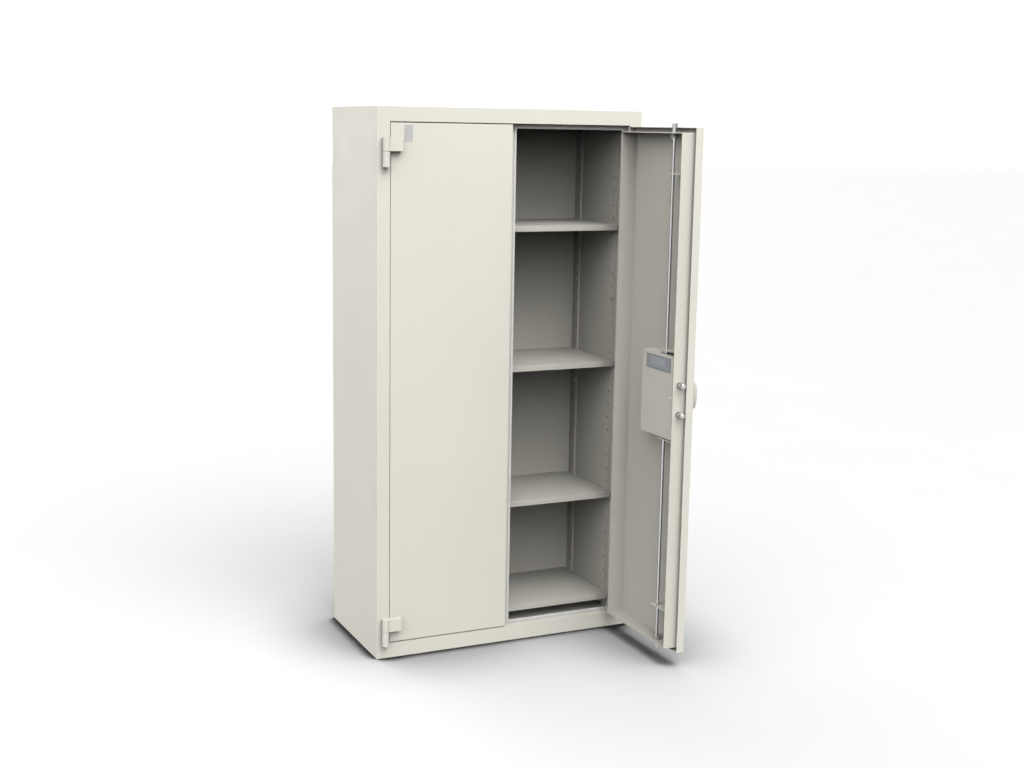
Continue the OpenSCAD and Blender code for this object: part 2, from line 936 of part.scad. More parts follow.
// cover with three turned sides, open toward the free edge
module lock_case() {
    color([0.74, 0.72, 0.68])
        open_right()
            difference() {
                leaf_bar(case_u0, case_u1, door_t, case_v, case_z0, case_z1);
                leaf_bar(case_u0 + case_t, case_u1 + past, door_t - past, case_v - case_t,
                    case_z0 + case_t, case_z1 - case_t);
                rod_z_dir(door_edge - rod_u, rod_v, case_z0 - past, case_z1 + past,
                    rod_dia + 2 * slide_clear);
                for (u = post_us)
                    for (z = post_zs)
                        case_hole(u, z, screw_dia + 2 * screw_clear);
                case_hole(plug_u, spindle_z, plug_stem + 2 * plug_clear);
            }
}

module label_plate() {
    color([0.70, 0.74, 0.78])
        open_right()
            leaf_bar(case_u0 + label_side, case_u1 - label_side, case_v, case_v + label_t,
                case_z1 - label_top - label_h, case_z1 - label_top);
}

module cover_screws() {
    color([0.75, 0.75, 0.76])
        open_right()
            for (u = post_us)
                for (z = post_zs) {
                    rod_v_dir(door_edge - u, z, case_v, case_v + screw_head_t, screw_head_dia);
                    rod_v_dir(door_edge - u, z, case_v - screw_len, case_v + eps, screw_dia);
                }
}

module cover_plug() {
    color([0.92, 0.92, 0.90])
        open_right() {
            rod_v_dir(door_edge - plug_u, spindle_z, case_v, case_v + plug_head_t, plug_dia);
            rod_v_dir(door_edge - plug_u, spindle_z, case_v - 4, case_v + eps, plug_stem);
        }
}

module lock_body() {
    v0 = door_t + base_plate_t;
    color([0.55, 0.55, 0.58])
        open_right()
            difference() {
                leaf_bar(key_u - lock_half, key_u + lock_half, v0, v0 + lock_d,
                    key_z - lock_down, key_z + lock_up);
                rod_v_dir(door_edge - key_u, key_z, 0, case_v, key_bore);
            }
}

// flanged guides of the horizontal bolts inside the free-edge wall
module bolt_bushes() {
    color([0.82, 0.81, 0.77])
        open_right()
            for (z = bolt_zs)
                difference() {
                    leaf_bar(carriage_u1 + throw + bolt_bush_gap, case_u1 - 0.2,
                        rod_v - bolt_bush_half, case_v - case_t,
                        z - bolt_bush_half, z + bolt_bush_half);
                    rod_x_dir(rod_v, z, 0, half_w, bolt_dia + 2 * slide_clear);
                }
}

module handle_rosette() {
    color([0.8, 0.79, 0.76])
        open_right()
            difference() {
                rod_v_dir(door_edge - spindle_u, spindle_z, -rosette_t, 0, rosette_dia);
                rod_v_dir(door_edge - spindle_u, spindle_z, -rosette_t - past, past,
                    spindle_dia + 2 * spindle_clear);
            }
}

module key_escutcheon() {
    color([0.8, 0.79, 0.76])
        open_right()
            difference() {
                union() {
                    rod_v_dir(door_edge - key_u, key_z, -escutcheon_t, 0, escutcheon_dia);
                    rod_v_dir(door_edge - key_u, flap_pin_z, -flap_pin_out, -escutcheon_t + eps,
                        flap_pin_dia);
                }
                rod_v_dir(door_edge - key_u, key_z, -escutcheon_t - past, past, key_hole_dia);
            }
}

// swinging cover over the keyhole
module key_flap() {
    color([0.75, 0.74, 0.72])
        open_right()
            along_v(flap_v0, flap_v1)
                difference() {
                    union() {
                        translate([door_edge - key_u, key_z])
                            circle(d = flap_dia);
                        translate([door_edge - key_u - flap_neck / 2, key_z])
                            square([flap_neck, flap_pin_z - key_z]);
                        translate([door_edge - key_u, flap_pin_z])
                            circle(d = flap_neck);
                    }
                    translate([door_edge - key_u, flap_pin_z])
                        circle(d = flap_pin_dia + 2 * pin_clear);
                }
}

// radius of the barrel grip at a share of its half length
function grip_r(t) = grip_dia / 2 * sqrt(1 - pow(grip_taper * t, 2));

// barrel grip on its stem
module handle_grip() {
    half = grip_len / 2;
    end_r = grip_end_dia / 2;
    side = [for (t = grip_steps) [grip_r(t), t * half]];
    upper = concat(side, [[grip_r(1 - grip_round / half), half - grip_round],
        [end_r - grip_round, half]]);
    n = len(upper);
    color([0.85, 0.83, 0.78])
        open_right() union() {
            translate([door_edge - spindle_u, front - grip_out, spindle_z])
                rotate_extrude()
                    polygon(concat([[0, -half]],
                        [for (i = [n - 1 : -1 : 0]) [upper[i][0], -upper[i][1]]],
                        upper, [[0, half]]));
            rod_v_dir(door_edge - spindle_u, spindle_z, 6 - grip_out, collar_v, stem_dia);
            rod_v_dir(door_edge - spindle_u, spindle_z, collar_v - eps, stem_v1, collar_dia);
        }
}

module handle_spindle() {
    color([0.7, 0.7, 0.72])
        open_right()
            rod_v_dir(door_edge - spindle_u, spindle_z, stem_v1,
                plate_v0 + plate_t + spindle_over, spindle_dia);
}

// centre line of a slot after the disc has turned by a degrees
function slot_r(a) = cam_r0 + throw * a / 90;
function slot_pt(b, a) = [slot_r(a) * cos(b - a), slot_r(a) * sin(b - a)];
function slot_dir(b, a) =
    let (k = throw / 90 * 180 / PI)
    [k * cos(b - a) + slot_r(a) * sin(b - a), k * sin(b - a) - slot_r(a) * cos(b - a)];
function slot_side(b, a, w) =
    let (p = slot_pt(b, a), d = slot_dir(b, a), n = norm(d))
    [p[0] - w * d[1] / n, p[1] + w * d[0] / n];

module cam_slot(b) {
    w = drive_pin_dia / 2 + slot_clear;
    steps = 18;
    a0 = -2;
    a1 = 92;
    polygon(concat(
        [for (i = [0 : steps]) slot_side(b, a0 + (a1 - a0) * i / steps, w)],
        [for (i = [steps : -1 : 0]) slot_side(b, a0 + (a1 - a0) * i / steps, -w)]));
    translate(slot_pt(b, a0))
        circle(r = w + 0.06, $fn = 24);
    translate(slot_pt(b, a1))
        circle(r = w + 0.06, $fn = 24);
}

module cam_disc() {
    color([0.66, 0.66, 0.68])
        open_right()
            along_v(cam_v0, cam_v0 + cam_t)
                translate([door_edge - spindle_u, spindle_z])
                    rotate(90)
                        difference() {
                            circle(r = cam_r, $fn = 72);
                            circle(d = spindle_dia + 0.1);
                            for (b = [90, 180, 270])
                                cam_slot(b);
                        }
}

// rod with its thick tip, drawn thrown
module lock_rod(s) {
    z_end = (s > 0 ? tray_z1 + tip_flush : tray_z0 - tip_flush) + s * throw;
    z_start = spindle_z + s * (pin_r + socket_in + touch_gap);
    z_tip = z_end - s * tip_len;
    rod_z_dir(door_edge - rod_u, rod_v, min(z_start, z_tip), max(z_start, z_tip), rod_dia);
    rod_z_dir(door_edge - rod_u, rod_v, min(z_tip, z_end), max(z_tip, z_end), tip_dia);
}

// plate that carries the drive pin and holds the rod end
module drive_plate(s) {
    z0 = spindle_z + s * (pin_r - plate_in);
    z1 = spindle_z + s * (pin_r + plate_out);
    zp = spindle_z + s * pin_r;
    zr = spindle_z + s * (pin_r + socket_in);
    zw = zr - s * socket_wall;
    z_past = z1 + s * past;
    leaf_bar(rod_u - plate_half, spindle_u + plate_in, plate_v0, plate_v0 + plate_t,
        min(z0, z1), max(z0, z1));
    difference() {
        leaf_bar(rod_u - plate_half, rod_u + plate_half, plate_v0 + plate_t - eps,
            rod_v + rod_dia / 2 + socket_over, min(zw, z1), max(zw, z1));
        rod_z_dir(door_edge - rod_u, rod_v, min(zr, z_past), max(zr, z_past),
            rod_dia + 2 * rod_fit);
    }
    rod_v_dir(door_edge - spindle_u, zp, pin_v0, plate_v0 + eps, drive_pin_dia);
}

module upper_rod() {
    color([0.78, 0.78, 0.80])
        open_right()
            lock_rod(1);
}

module lower_rod() {
    color([0.78, 0.78, 0.80])
        open_right()
            lock_rod(-1);
}

module upper_drive_plate() {
    color([0.62, 0.62, 0.64])
        open_right()
            drive_plate(1);
}

module lower_drive_plate() {
    color([0.62, 0.62, 0.64])
        open_right()
            drive_plate(-1);
}

module lock_bolts() {
    color([0.8, 0.8, 0.82])
        open_right()
            for (z = bolt_zs)
                translate([door_edge - bolt_tip_u - throw, front + rod_v, z])
                    rotate([0, 90, 0])
                        rotate_extrude()
                            polygon([[0, 0], [bolt_nose_dia / 2, 0], [bolt_dia / 2, bolt_nose],
                                [bolt_dia / 2, bolt_tip_u - carriage_u1],
                                [0, bolt_tip_u - carriage_u1]]);
}

// carriage that joins the two bolts and carries their drive pin
module bolt_carriage() {
    u0 = spindle_u + pin_r - plate_in;
    u1 = carriage_u1 + throw;
    h = carriage_over;
    color([0.62, 0.62, 0.64])
        open_right() {
            leaf_bar(u0, u1, plate_v0, plate_v0 + plate_t, bolt_zs[0] - h, bolt_zs[1] + h);
            for (z = bolt_zs)
                leaf_bar(u0, u1, plate_v0 + plate_t - eps, rod_v + carriage_back, z - h, z + h);
            rod_v_dir(door_edge - spindle_u - pin_r, spindle_z, pin_v0, plate_v0 + eps,
                drive_pin_dia);
        }
}

// shoot bolts inside the left door
module left_bolt(s) {
    z_end = s > 0 ? tray_z1 + tip_flush : tray_z0 - tip_flush;
    z_in = z_end - s * left_len;
    zk = z_in + s * thumb_in;
    rod_z_dir(door_edge - left_u, rod_v, min(z_in, z_end), max(z_in, z_end), rod_dia);
    rod_v_dir(door_edge - left_u, zk, rod_v, tray_d - 1, thumb_dia);
}

module left_upper_bolt() {
    color([0.78, 0.78, 0.80])
        to_left()
            left_bolt(1);
}

module left_lower_bolt() {
    color([0.78, 0.78, 0.80])
        to_left()
            left_bolt(-1);
}

module left_bolt_guides() {
    color([0.75, 0.75, 0.74])
        to_left()
            for (d = [left_guide_in, left_guide_in + left_guide_gap])
                for (z = [tray_z1 - d, tray_z0 + d - guide_t])
                    guide_plate_left(z);
}

module guide_plate_left(z) {
    u0 = left_u - left_guide_half;
    u1 = left_u + left_guide_half;
    difference() {
        leaf_bar(u0, u1, door_t, rod_v + left_guide_over, z, z + guide_t);
        rod_z_dir(door_edge - left_u, rod_v, z - past, z + guide_t + past,
            rod_dia + 2 * slide_clear);
    }
    leaf_bar(u0, u1, door_t, door_t + guide_t, z - guide_foot, z + eps);
}

side_left();
side_right();
top_panel();
back_panel();
base_panel();
anchor_plates();
jamb_left();
jamb_right();
head_rail();
sill_rail();
centre_post();
post_keeper();
keeper_plates();
insulation_boards();
inner_liner();
shelf_rails();
shelf_clips();
shelf_bottom();
shelf_lower();
shelf_middle();
shelf_upper();
seal_left();
seal_right();
hinge_knuckles();
hinge_pins();
hinge_washers();
left_door_pan();
left_door_frame();
left_hinge_blocks();
left_bolt_guides();
left_upper_bolt();
left_lower_bolt();
right_door_pan();
right_door_frame();
right_hinge_blocks();
rod_guides();
rod_bushes();
lock_base();
lock_case();
label_plate();
cover_screws();
cover_plug();
lock_body();
bolt_bushes();
handle_rosette();
key_escutcheon();
key_flap();
handle_grip();
handle_spindle();
cam_disc();
upper_rod();
upper_drive_plate();
lower_rod();
lower_drive_plate();
lock_bolts();
bolt_carriage();
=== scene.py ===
import json
import math

import bmesh
import bpy
from mathutils import Matrix, Vector


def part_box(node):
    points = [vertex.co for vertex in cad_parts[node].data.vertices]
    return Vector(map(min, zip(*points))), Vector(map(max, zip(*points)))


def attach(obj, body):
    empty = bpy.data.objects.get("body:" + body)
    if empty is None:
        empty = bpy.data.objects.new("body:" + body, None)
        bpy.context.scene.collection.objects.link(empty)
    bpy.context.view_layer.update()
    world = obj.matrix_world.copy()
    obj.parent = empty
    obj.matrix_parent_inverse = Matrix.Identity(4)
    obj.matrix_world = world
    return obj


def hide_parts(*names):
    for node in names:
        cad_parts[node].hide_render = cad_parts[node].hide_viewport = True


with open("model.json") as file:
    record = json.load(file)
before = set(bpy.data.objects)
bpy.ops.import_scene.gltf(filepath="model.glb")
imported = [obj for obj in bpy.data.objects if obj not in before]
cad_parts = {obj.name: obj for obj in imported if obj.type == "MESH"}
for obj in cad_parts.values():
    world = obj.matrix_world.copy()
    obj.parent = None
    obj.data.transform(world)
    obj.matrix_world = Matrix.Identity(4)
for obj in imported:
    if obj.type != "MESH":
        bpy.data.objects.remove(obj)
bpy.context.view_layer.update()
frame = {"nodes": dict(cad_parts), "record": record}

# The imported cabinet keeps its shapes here. This script rounds the edges of its sheets, gives every
# node its finish, adds small fasteners and the plates that guide the rods, and sets the camera,
# the floor and the light.

scene = bpy.context.scene
nodes = frame["nodes"]
MM = 0.001
cad_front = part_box("jamb_left")[0][1]


# Camera

# viewpoint of the photograph in metres and degrees, worked out from the cabinet's own corners
CAM_AT = (-2.1491, -4.8311, 1.8543)
CAM_YAW = 25.149
CAM_PITCH = 10.034
CAM_ROLL = 0.990
# lens and sensor in mm, then the nearest and furthest that the camera sees in metres
CAM_LENS = 50.824
CAM_SENSOR = 36.0
CAM_NEAR = 0.05
CAM_FAR = 100.0


def make_camera():
    """Camera at the photograph's place. Yaw turns it from +Y to +X, and pitch tips it down."""
    yaw = math.radians(CAM_YAW)
    pitch = math.radians(CAM_PITCH)
    roll = math.radians(CAM_ROLL)
    ahead = Vector((
        math.sin(yaw) * math.cos(pitch), math.cos(yaw) * math.cos(pitch), -math.sin(pitch)))
    level = Vector((math.cos(yaw), -math.sin(yaw), 0.0))
    above = level.cross(ahead)
    right = math.cos(roll) * level + math.sin(roll) * above
    up = math.cos(roll) * above - math.sin(roll) * level
    data = bpy.data.cameras.new("camera")
    data.sensor_fit = "HORIZONTAL"
    data.sensor_width = CAM_SENSOR
    data.lens = CAM_LENS
    data.clip_start = CAM_NEAR
    data.clip_end = CAM_FAR
    camera = bpy.data.objects.new("camera", data)
    camera.matrix_world = Matrix.Translation(CAM_AT) @ Matrix(
        (right, up, -ahead)).transposed().to_4x4()
    scene.collection.objects.link(camera)
    scene.camera = camera


# Node helpers

# range that most values of a noise lie in
NOISE_LOW = 0.3
NOISE_HIGH = 0.7


def math_node(tree, kind, a, b):
    """Result of a Math node on two values, each a number or the output of another node."""
    node = tree.nodes.new("ShaderNodeMath")
    node.operation = kind
    for socket, value in zip(node.inputs, (a, b)):
        if isinstance(value, (int, float)):
            socket.default_value = value
        else:
            tree.links.new(value, socket)
    return node.outputs["Value"]


class Graph:
    """A small material graph round one Principled shader, in object coordinates."""

    def __init__(self, name, rough, metal=0.0, specular=0.5):
        self.mat = bpy.data.materials.new(name)
        self.mat.use_nodes = True
        self.tree = self.mat.node_tree
        self.tree.nodes.clear()
        out = self.add("ShaderNodeOutputMaterial")
        self.shader = self.add("ShaderNodeBsdfPrincipled")
        self.link(self.shader.outputs["BSDF"], out.inputs["Surface"])
        self.shader.inputs["Roughness"].default_value = rough
        self.shader.inputs["Metallic"].default_value = metal
        self.shader.inputs["Specular IOR Level"].default_value = specular
        self.place = self.add("ShaderNodeTexCoord").outputs["Object"]

    def add(self, kind):
        return self.tree.nodes.new(kind)

    def link(self, source, target):
        self.tree.links.new(source, target)

    def calc(self, kind, a, b):
        return math_node(self.tree, kind, a, b)

    def stretched(self, scales):
        """Object coordinates that are scaled along each axis."""
        mapping = self.add("ShaderNodeMapping")
        mapping.inputs["Scale"].default_value = scales
        self.link(self.place, mapping.inputs["Vector"])
        return mapping.outputs["Vector"]

    def noise(self, grain, where=None):
        """Noise of a grain that is given as its scale and its detail."""
        scale, detail = grain
        node = self.add("ShaderNodeTexNoise")
        node.inputs["Scale"].default_value = scale
        node.inputs["Detail"].default_value = detail
        self.link(where or self.place, node.inputs["Vector"])
        return node.outputs["Fac"]

    def span(self, value, low, high, from_low=NOISE_LOW, from_high=NOISE_HIGH):
        """The value taken from one range to another, and held at its ends."""
        node = self.add("ShaderNodeMapRange")
        node.inputs["From Min"].default_value = from_low
        node.inputs["From Max"].default_value = from_high
        node.inputs["To Min"].default_value = low
        node.inputs["To Max"].default_value = high
        self.link(value, node.inputs["Value"])
        return node.outputs["Result"]

    def blend(self, factor, first, second):
        """Mix of two colours, each a triple of numbers or the output of another node."""
        node = self.add("ShaderNodeMix")
        node.data_type = "RGBA"
        sockets = {socket.identifier: socket for socket in node.inputs}
        self.link(factor, sockets["Factor_Float"])
        for key, value in (("A_Color", first), ("B_Color", second)):
            if isinstance(value, tuple):
                sockets[key].default_value = (*value, 1.0)
            else:
                self.link(value, sockets[key])
        return next(s for s in node.outputs if s.identifier == "Result_Color")

    def tones(self, value, first, second, from_low=NOISE_LOW, from_high=NOISE_HIGH):
        """Colour that runs from the first to the second while the value crosses its range."""
        return self.blend(self.span(value, 0.0, 1.0, from_low, from_high), first, second)

    def colour(self, value):
        self.link(value, self.shader.inputs["Base Color"])

    def roughness(self, value):
        self.link(value, self.shader.inputs["Roughness"])

    def bump(self, height, depth):
        """Relief of a depth in mm."""
        node = self.add("ShaderNodeBump")
        node.inputs["Distance"].default_value = depth * MM
        self.link(height, node.inputs["Height"])
        self.link(node.outputs["Normal"], self.shader.inputs["Normal"])


def shade(colour, factor):
    return tuple(c * factor for c in colour)


def grey(level):
    return (level, level, level)


# Light

# strength of the dome's even light above the horizon, and of the even fill below it
DOME_LEVEL = 0.10
FILL_LEVEL = 0.50
# soft lights on the dome: azimuth from +X and elevation in degrees, narrowness, strength
SOFTBOXES = (
    (-87.0, 50.0, 4.0, 2.5),
    (-85.0, 50.0, 14.0, 1.3),
    (-155.0, 16.0, 4.0, 1.35),
    (105.0, 5.0, 4.0, 2.5),
    (105.0, 5.0, 12.0, 3.0),
)
# least strength that the camera itself sees, so that the backdrop is white
BACKDROP_LEVEL = 1.05
# disk lamp over the front in metres and watts, which lights the head more than the sill
LAMP_AT = (0.25, -2.6, 4.4)
LAMP_AIM = (0.2, 0.0, 1.6)
LAMP_SIZE = 1.6
LAMP_POWER = 32.0
# height of a direction where the fill ends and where the dome is whole, both a little below the
# far edge of the floor
HORIZON = (-0.05, -0.035)
# no light passes from one matt face to another, since the dome's even light stands in for it
DIFFUSE_BOUNCES = 0


def area_light(name, at, aim, size, power):
    data = bpy.data.lights.new(name, "AREA")
    data.shape = "DISK"
    data.size = size
    data.energy = power
    lamp = bpy.data.objects.new(name, data)
    lamp.location = at
    lamp.rotation_mode = "QUATERNION"
    lamp.rotation_quaternion = (Vector(aim) - Vector(at)).to_track_quat("-Z", "Y")
    scene.collection.objects.link(lamp)


def softbox(tree, ray, azimuth, elevation, narrowness, strength):
    """A round patch of the dome that is brightest along its own direction."""
    turn = math.radians(azimuth)
    rise = math.radians(elevation)
    dot = tree.nodes.new("ShaderNodeVectorMath")
    dot.operation = "DOT_PRODUCT"
    dot.inputs[1].default_value = (
        math.cos(rise) * math.cos(turn), math.cos(rise) * math.sin(turn), math.sin(rise))
    tree.links.new(ray, dot.inputs[0])
    facing = math_node(tree, "MAXIMUM", dot.outputs["Value"], 0.0)
    return math_node(tree, "MULTIPLY", math_node(tree, "POWER", facing, narrowness), strength)


def make_studio():
    """Dome with its soft lights, the fill below it, and the lamp."""
    world = bpy.data.worlds.new("studio")
    world.use_nodes = True
    tree = world.node_tree
    ray = tree.nodes.new("ShaderNodeTexCoord").outputs["Generated"]
    split = tree.nodes.new("ShaderNodeSeparateXYZ")
    tree.links.new(ray, split.inputs["Vector"])
    above = tree.nodes.new("ShaderNodeMapRange")
    above.inputs["From Min"].default_value = HORIZON[0]
    above.inputs["From Max"].default_value = HORIZON[1]
    tree.links.new(split.outputs["Z"], above.inputs["Value"])
    total = DOME_LEVEL - FILL_LEVEL
    for box in SOFTBOXES:
        total = math_node(tree, "ADD", softbox(tree, ray, *box), total)
    total = math_node(tree, "MULTIPLY", total, above.outputs["Result"])
    total = math_node(tree, "ADD", total, FILL_LEVEL)
    seen = tree.nodes.new("ShaderNodeLightPath").outputs["Is Camera Ray"]
    backdrop = math_node(tree, "MULTIPLY", seen, BACKDROP_LEVEL)
    total = math_node(tree, "MAXIMUM", total, backdrop)
    background = tree.nodes["Background"]
    background.inputs["Color"].default_value = (*grey(1.0), 1.0)
    tree.links.new(total, background.inputs["Strength"])
    scene.world = world
    area_light("lamp", LAMP_AT, LAMP_AIM, LAMP_SIZE, LAMP_POWER)
    scene.view_settings.view_transform = "Standard"
    scene.cycles.use_denoising = True
    scene.cycles.diffuse_bounces = DIFFUSE_BOUNCES


# Finishes

# grains of the finishes: scale and detail of their noise
PAINT_CLOUD = (2.6, 3.0)
PAINT_SPECK = (900.0, 1.0)
PAINT_GLOSS = (7.0, 4.0)
PEEL_FINE = (420.0, 2.0)
PEEL_COARSE = (130.0, 1.0)
PLATED_CLOUD = (18.0, 3.0)
PLATED_GLOSS = (160.0, 3.0)
PLATED_SCRATCH = (60.0, 2.0)
BAR_CLOUD = (30.0, 3.0)
BAR_LINES = (220.0, 2.0)
MOULD_CLOUD = (24.0, 3.0)
MOULD_GLOSS = (60.0, 2.0)
MOULD_GRAIN = (1400.0, 2.0)
LABEL_CLOUD = (40.0, 2.0)
LABEL_GLOSS = (90.0, 2.0)
LABEL_GRAIN = (300.0, 2.0)
FIBRE_GRAIN = (240.0, 4.0)
# scales along X, Y and Z for the grains that are drawn out along one of them
SCRATCH_SCALES = (12.0, 12.0, 0.6)
LINE_SCALES = (3.0, 3.0, 0.02)
FIBRE_SCALES = (1.0, 6.0, 6.0)
# depth of the reliefs in mm
PEEL_DEPTH = 0.12
SCRATCH_DEPTH = 0.06
LINE_DEPTH = 0.04
MOULD_DEPTH = 0.08
GLOSSY_DEPTH = 0.01
LABEL_DEPTH = 0.02
FIBRE_DEPTH = 0.4
# share of the specks in the paint's tone, how far that tone strays, and the weight of the coarse
# waves against the fine ones in its orange peel
SPECK_SHARE = 0.3
MOTTLE = 0.03
COARSE_WEIGHT = 0.8
# darkest and lightest tone of the other finishes against their colour
PLATED_DARK = 0.86
BAR_DARK = 0.92
MOULD_DARK = 0.93
MOULD_LIGHT = 1.04
FIBRE_DARK = 0.8


def powder_coat(name, colour, low, high):
    """Satin powder coat: a fine orange peel, and a faint cloudiness of tone and gloss."""
    g = Graph(name, rough=low, specular=0.2)
    cloud = g.calc("MULTIPLY", g.noise(PAINT_CLOUD), 1 - SPECK_SHARE)
    speck = g.calc("MULTIPLY", g.noise(PAINT_SPECK), SPECK_SHARE)
    tone = g.calc("ADD", cloud, speck)
    g.colour(g.tones(tone, shade(colour, 1 - MOTTLE), shade(colour, 1 + MOTTLE / 2)))
    g.roughness(g.span(g.noise(PAINT_GLOSS), low, high))
    coarse = g.calc("MULTIPLY", g.noise(PEEL_COARSE), COARSE_WEIGHT)
    g.bump(g.calc("ADD", g.noise(PEEL_FINE), coarse), PEEL_DEPTH)
    return g.mat


def plated_steel(name, colour, low, high):
    """Zinc plating: cloudy grains of differing gloss and small scratches along Z."""
    g = Graph(name, rough=low, metal=1.0)
    g.colour(g.tones(g.noise(PLATED_CLOUD), shade(colour, PLATED_DARK), colour))
    g.roughness(g.span(g.noise(PLATED_GLOSS), low, high))
    g.bump(g.noise(PLATED_SCRATCH, g.stretched(SCRATCH_SCALES)), SCRATCH_DEPTH)
    return g.mat


def bright_bar(name, colour, low, high):
    """Drawn bright bar: fine lines along its length and a little uneven gloss."""
    g = Graph(name, rough=low, metal=1.0)
    lines = g.noise(BAR_LINES, g.stretched(LINE_SCALES))
    g.colour(g.tones(g.noise(BAR_CLOUD), shade(colour, BAR_DARK), colour))
    g.roughness(g.span(lines, low, high))
    g.bump(lines, LINE_DEPTH)
    return g.mat


def moulded(name, colour, low, high, depth):
    """Moulded plastic or rubber with a fine spark-eroded texture."""
    g = Graph(name, rough=low, specular=0.45)
    g.colour(g.tones(g.noise(MOULD_CLOUD), shade(colour, MOULD_DARK), shade(colour, MOULD_LIGHT)))
    g.roughness(g.span(g.noise(MOULD_GLOSS), low, high))
    g.bump(g.noise(MOULD_GRAIN), depth)
    return g.mat


def fibre_board(name, colour):
    """Matt board of pressed fibres that lie along X."""
    g = Graph(name, rough=0.9, specular=0.1)
    fibre = g.noise(FIBRE_GRAIN, g.stretched(FIBRE_SCALES))
    g.colour(g.tones(fibre, shade(colour, FIBRE_DARK), colour))
    g.bump(fibre, FIBRE_DEPTH)
    return g.mat


LABEL_GROUND = (0.47, 0.49, 0.53)
LABEL_LINE = (0.30, 0.33, 0.40)
LABEL_FIELD = (0.56, 0.58, 0.62)
# the ground inside the frame line, and the pale field, as shares of the label's length and height
LABEL_INSIDE = (0.02, 0.98, 0.06, 0.94)
LABEL_WINDOW = (0.22, 0.80, 0.30, 0.86)
# pale haze over the print, and how much of it shows at most
LABEL_HAZE = (0.80, 0.82, 0.84)
HAZE_MOST = 0.06


def label_foil(name, low, high):
    """Printed foil left blank: a thin frame line and one pale field, in the plate's own box."""
    box_low, box_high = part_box("label_plate")
    length = box_high[1] - box_low[1]
    height = box_high[2] - box_low[2]
    g = Graph(name, rough=low, specular=0.5)
    split = g.add("ShaderNodeSeparateXYZ")
    g.link(g.place, split.inputs["Vector"])
    along = split.outputs["Y"]
    up = split.outputs["Z"]

    def field(y0, y1, z0, z1):
        """1 inside a rectangle of the plate, and 0 outside it."""
        across = g.calc(
            "MULTIPLY",
            g.calc("GREATER_THAN", along, box_low[1] + y0 * length),
            g.calc("LESS_THAN", along, box_low[1] + y1 * length))
        upright = g.calc(
            "MULTIPLY",
            g.calc("GREATER_THAN", up, box_low[2] + z0 * height),
            g.calc("LESS_THAN", up, box_low[2] + z1 * height))
        return g.calc("MULTIPLY", across, upright)

    ink = g.blend(field(*LABEL_INSIDE), LABEL_LINE, LABEL_GROUND)
    ink = g.blend(field(*LABEL_WINDOW), ink, LABEL_FIELD)
    g.colour(g.blend(g.span(g.noise(LABEL_CLOUD), 0.0, HAZE_MOST), ink, LABEL_HAZE))
    g.roughness(g.span(g.noise(LABEL_GLOSS), low, high))
    g.bump(g.noise(LABEL_GRAIN), LABEL_DEPTH)
    return g.mat


CREAM = (0.825, 0.800, 0.712)
# darker copy of the cream for the inside and the doors' trays, painted shade of those shadowed faces
GREY_CREAM_SHADED_COPY = (0.765, 0.737, 0.652)
# lighter copy of the inner cream for the lock cover and the guide plates, painted light on them
COVER_CREAM_LIT_COPY = (0.905, 0.872, 0.776)
# darker copy of the cream for the shelves, painted shade on them
SHELF_CREAM_SHADED_COPY = (0.670, 0.652, 0.582)

# recipe of each finish, and what it asks for: a colour, the least and greatest roughness, and
# the depth of a moulded texture
FINISHES = {
    "outer_paint": (powder_coat, CREAM, 0.48, 0.62),
    "door_paint": (powder_coat, CREAM, 0.48, 0.62),
    "inner_paint": (powder_coat, GREY_CREAM_SHADED_COPY, 0.46, 0.60),
    "shelf_paint": (powder_coat, SHELF_CREAM_SHADED_COPY, 0.46, 0.60),
    "zinc_steel": (plated_steel, (0.66, 0.66, 0.67), 0.26, 0.42),
    "bright_steel": (bright_bar, grey(0.62), 0.14, 0.26),
    "hinge_washer": (plated_steel, grey(0.42), 0.30, 0.45),
    "light_rubber": (moulded, (0.86, 0.86, 0.84), 0.60, 0.75, MOULD_DEPTH),
    "nylon": (moulded, (0.74, 0.72, 0.66), 0.40, 0.55, MOULD_DEPTH),
    "white_plastic": (moulded, (0.92, 0.92, 0.91), 0.12, 0.20, GLOSSY_DEPTH),
    "label_foil": (label_foil, 0.30, 0.42),
    "fibre_board": (fibre_board, (0.70, 0.62, 0.44)),
    "cover_paint": (powder_coat, COVER_CREAM_LIT_COPY, 0.46, 0.60),
    "bush_grey": (moulded, (0.50, 0.48, 0.43), 0.40, 0.55, MOULD_DEPTH),
}

# nodes and pieces whose finish differs in tone from the rest of their slot; the lighter cream of the
# lock cover and the guide plates is painted light
OWN_FINISHES = {
    "lock_case": "cover_paint",
    "rod_guide_plates": "cover_paint",
    "rod_bushes": "bush_grey",
}


def slot_of_node():
    """Material slot of every node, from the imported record."""
    return {part["node"]: part["material_slot"] for part in frame["record"]["subparts"]}


def dress(obj, name, slot, finishes):
    """Gives a node or piece its own finish, or else that of its slot."""
    obj.data.materials.clear()
    obj.data.materials.append(finishes[OWN_FINISHES.get(name, slot)])
    for face in obj.data.polygons:
        face.material_index = 0


# Floor

FLOOR_HALF = 60.0
FLOOR_CLOUD = (1.3, 2.0)
# darkest and lightest tone of the open ground
GROUND_LOW = 0.76
GROUND_HIGH = 0.77
# painted shadow of the ground, the wide one and then the narrow one of near contact: how far it
# looks for what stands over it, its darkest tone, and the openness at which it is darkest and ends
PAINTED_FLOOR_SHADOWS = (
    (0.40, 0.16, 0.22, 0.97),
    (0.09, 0.02, 0.64, 0.75),
)
# directions in which each spot of the ground looks
SHADE_RAYS = 12


